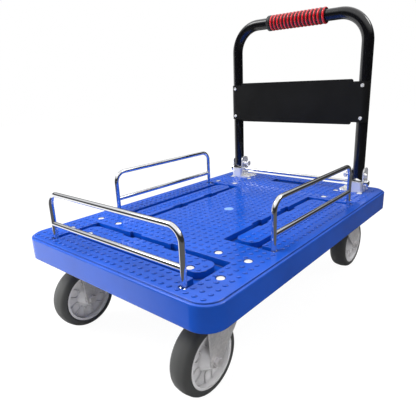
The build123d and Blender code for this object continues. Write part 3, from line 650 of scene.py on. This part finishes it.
class TRUCK_OT_tyres(bpy.types.Operator):
    """Models the four tyres"""

    bl_idname = "truck.tyres"
    bl_label = "Tyres"

    def execute(self, context):
        sizes = context.scene.truck_sizes
        for corner in CORNERS:
            low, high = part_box(f"{corner}_tyre")
            core_low, core_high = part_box(f"{corner}_wheel_core")
            centre = (low + high) / 2
            radius = (high.z - low.z) / 2
            inner = (core_high.z - core_low.z) / 2
            half = (high.y - low.y) / 2
            outline = self.outline(centre, radius, inner, half, sizes)
            tyre = turn_profile(outline, centre, (0, 1, 0), TYRE_STEPS)
            settle(tyre, f"{corner}_tread", "grey_tyre", f"{corner}_wheel",
                   (f"{corner}_tyre",))
        return {"FINISHED"}

    @staticmethod
    def outline(centre, radius, inner, half, sizes):
        """Half of a tyre's section from its seat over the tread, and back along the seat."""
        crown, shoulder = sizes.tread_crown, sizes.shoulder
        side = [(-half + 0.0024, inner), (-half + 0.0008, inner + 0.0006),
                (-half + 0.0003, inner + 0.0022), (-half, radius - shoulder)]
        for step in range(1, SHOULDER_STEPS + 1):
            turn = math.pi / 2 * step / SHOULDER_STEPS
            side.append((-half + shoulder * (1 - math.cos(turn)),
                         radius - crown - shoulder * (1 - math.sin(turn))))
        flat = half - shoulder
        side += [(-flat * (1 - part), radius - crown * (1 - part) ** 2) for part in (0.35, 0.7)]
        full = side + [(0.0, radius)] + [(-y, r) for y, r in reversed(side)]
        full.append(full[0])
        return [centre + Vector((0, y, r)) for y, r in full]


# ---------------------------------------------------------------- studio

FLOOR_SIZE = 14.0
FLOOR_GAP = 0.0005  # below the wheels
FLOOR_GLOW = 1.12  # keeps the floor white to the eye
FLOOR_GLOW_SHARE = 0.86
# Name, place, aim, size and power of each lamp. They light, and the sky is what shows in gloss.
LAMPS = (
    ("key", (1.3, -1.6, 2.2), (0.1, 0.0, 0.25), 1.5, 28.0),
    ("front", (1.0, -1.1, 0.5), (0.4, 0.0, 0.2), 0.7, 17.0),
    ("top", (0.4, -0.5, 2.7), (0.1, -0.1, 0.2), 2.0, 66.0),
    ("side", (0.9, 2.6, 0.3), (0.1, 0.1, 0.15), 0.8, 3.6),
)
# Elevation in degrees and brightness of the sky's bands, from below to above.
SKY_BANDS = ((-90, 0.08), (-15, 0.11), (-6, 0.03), (20, 0.03), (34, 0.80), (50, 1.10), (90, 0.9))
# Bearing and elevation of a card's middle, its inner and outer radius, and its brightness.
SKY_CARDS = ((-90, -25, 33, 43, 1.10), (-142, 24, 14, 48, 0.22),
             (-60, 46, 7, 13, 7.0), (130, 45, 7, 13, 8.0))


class TRUCK_OT_stage(bpy.types.Operator):
    """Lays the floor and sets the lights and the sky of the studio"""

    bl_idname = "truck.stage"
    bl_label = "Stage"

    def execute(self, context):
        colours = context.scene.truck_colours
        clear_selection()
        bpy.ops.mesh.primitive_plane_add(size=FLOOR_SIZE, location=(0, 0, -FLOOR_GAP))
        floor = context.object
        floor.name = "studio_floor"
        bpy.ops.object.transform_apply(location=True, rotation=True, scale=True)
        material = bpy.data.materials.new("studio_floor")
        material.use_nodes = True
        tree = material.node_tree
        shader = tree.nodes["Principled BSDF"]
        place = add_node(tree, "ShaderNodeTexCoord").outputs["Object"]
        patch = ramp(tree, noise(tree, place, 3.0), 0.3, 0.7)
        plain = tuple(colours.floor)
        tree.links.new(
            blend_colours(tree, patch, shade(plain, 0.99), plain), shader.inputs["Base Color"]
        )
        shader.inputs["Roughness"].default_value = 0.9
        glow = add_node(tree, "ShaderNodeEmission")
        glow.inputs["Strength"].default_value = FLOOR_GLOW
        path = add_node(tree, "ShaderNodeLightPath")
        share = math_node(tree, "MULTIPLY", path.outputs["Is Camera Ray"], FLOOR_GLOW_SHARE)
        mix = add_node(tree, "ShaderNodeMixShader")
        tree.links.new(share, mix.inputs[0])
        tree.links.new(shader.outputs[0], mix.inputs[1])
        tree.links.new(glow.outputs[0], mix.inputs[2])
        tree.links.new(mix.outputs[0], tree.nodes["Material Output"].inputs["Surface"])
        floor.data.materials.append(material)
        floor.visible_glossy = False
        self.make_sky(context.scene)
        for name, place, aim, size, power in LAMPS:
            clear_selection()
            bpy.ops.object.light_add(type="AREA", location=place)
            lamp = context.object
            lamp.name = f"{name}_light"
            lamp.visible_glossy = False
            lamp.data.shape = "SQUARE"
            lamp.data.size = size
            lamp.data.energy = power
            toward = Vector(aim) - Vector(place)
            lamp.rotation_euler = toward.to_track_quat("-Z", "Y").to_euler()
        context.scene.view_settings.view_transform = "Standard"
        return {"FINISHED"}

    @staticmethod
    def make_sky(scene):
        """Soft bands and cards all round for reflections, and plain white behind the truck."""
        world = bpy.data.worlds.new("studio_sky")
        scene.world = world
        world.use_nodes = True
        tree = world.node_tree
        tree.nodes.clear()
        place = add_node(tree, "ShaderNodeTexCoord").outputs["Generated"]
        split = add_node(tree, "ShaderNodeSeparateXYZ")
        tree.links.new(place, split.inputs[0])
        bands = add_node(tree, "ShaderNodeValToRGB")
        elements = bands.color_ramp.elements
        for index, (height, value) in enumerate(SKY_BANDS):
            position = (math.sin(math.radians(height)) + 1) / 2
            stop = elements[index] if index < 2 else elements.new(position)
            stop.position = position
            stop.color = (value, value, value, 1.0)
        tree.links.new(ramp(tree, split.outputs["Z"], -1.0, 1.0), bands.inputs[0])
        light = bands.outputs[0]
        for turn, height, inner, outer, value in SKY_CARDS:
            turn, height = math.radians(turn), math.radians(height)
            dot = add_node(tree, "ShaderNodeVectorMath", operation="DOT_PRODUCT")
            tree.links.new(place, dot.inputs[0])
            dot.inputs[1].default_value = (
                math.cos(turn) * math.cos(height), math.sin(turn) * math.cos(height),
                math.sin(height),
            )
            edges = (math.cos(math.radians(outer)), math.cos(math.radians(inner)))
            card = ramp(tree, dot.outputs["Value"], *edges, 0.0, value)
            light = math_node(tree, "MAXIMUM", light, card)
        sky = add_node(tree, "ShaderNodeBackground")
        tree.links.new(light, sky.inputs["Color"])
        sky.inputs["Strength"].default_value = 1.0
        white = add_node(tree, "ShaderNodeBackground")
        white.inputs["Color"].default_value = (1.0, 1.0, 1.0, 1.0)
        path = add_node(tree, "ShaderNodeLightPath")
        mix = add_node(tree, "ShaderNodeMixShader")
        tree.links.new(path.outputs["Is Camera Ray"], mix.inputs[0])
        tree.links.new(sky.outputs[0], mix.inputs[1])
        tree.links.new(white.outputs[0], mix.inputs[2])
        out = add_node(tree, "ShaderNodeOutputWorld")
        tree.links.new(mix.outputs[0], out.inputs["Surface"])


CAMERA_PLACE = (0.8698, 0.6629, 0.5939)
CAMERA_TURN = (72.967, 2.189, 129.751)
CAMERA_LENS = 34.73  # millimetres
CAMERA_SENSOR = 36.0


class TRUCK_OT_camera(bpy.types.Operator):
    """Sets the camera to look over the truck's front left corner"""

    bl_idname = "truck.camera"
    bl_label = "Camera"

    def execute(self, context):
        clear_selection()
        bpy.ops.object.camera_add(
            location=CAMERA_PLACE, rotation=tuple(math.radians(turn) for turn in CAMERA_TURN)
        )
        camera = context.object
        camera.name = "main_camera"
        camera.data.lens = CAMERA_LENS
        camera.data.sensor_width = CAMERA_SENSOR
        camera.data.clip_start = 0.01
        context.scene.camera = camera
        return {"FINISHED"}


class TRUCK_PT_panel(bpy.types.Panel):
    bl_label = "Platform Truck"
    bl_idname = "TRUCK_PT_panel"
    bl_space_type = "VIEW_3D"
    bl_region_type = "UI"
    bl_category = "Truck"

    def draw(self, context):
        for step in STEPS:
            self.layout.operator(f"truck.{step}")
        for group in (context.scene.truck_sizes, context.scene.truck_colours):
            box = self.layout.box()
            for name in group.__annotations__:
                box.prop(group, name)


STEPS = ("finishes", "deck_tread", "grip", "tyres", "stage", "camera")
CLASSES = (
    TruckSizes,
    TruckColours,
    TRUCK_OT_finishes,
    TRUCK_OT_deck_tread,
    TRUCK_OT_grip,
    TRUCK_OT_tyres,
    TRUCK_OT_stage,
    TRUCK_OT_camera,
    TRUCK_PT_panel,
)


def register():
    for entry in CLASSES:
        bpy.utils.register_class(entry)
    bpy.types.Scene.truck_sizes = bpy.props.PointerProperty(type=TruckSizes)
    bpy.types.Scene.truck_colours = bpy.props.PointerProperty(type=TruckColours)


def unregister():
    del bpy.types.Scene.truck_sizes
    del bpy.types.Scene.truck_colours
    for entry in reversed(CLASSES):
        bpy.utils.unregister_class(entry)


def main():
    register()
    for step in STEPS:
        getattr(bpy.ops.truck, step)()


if __name__ == "__main__":
    main()
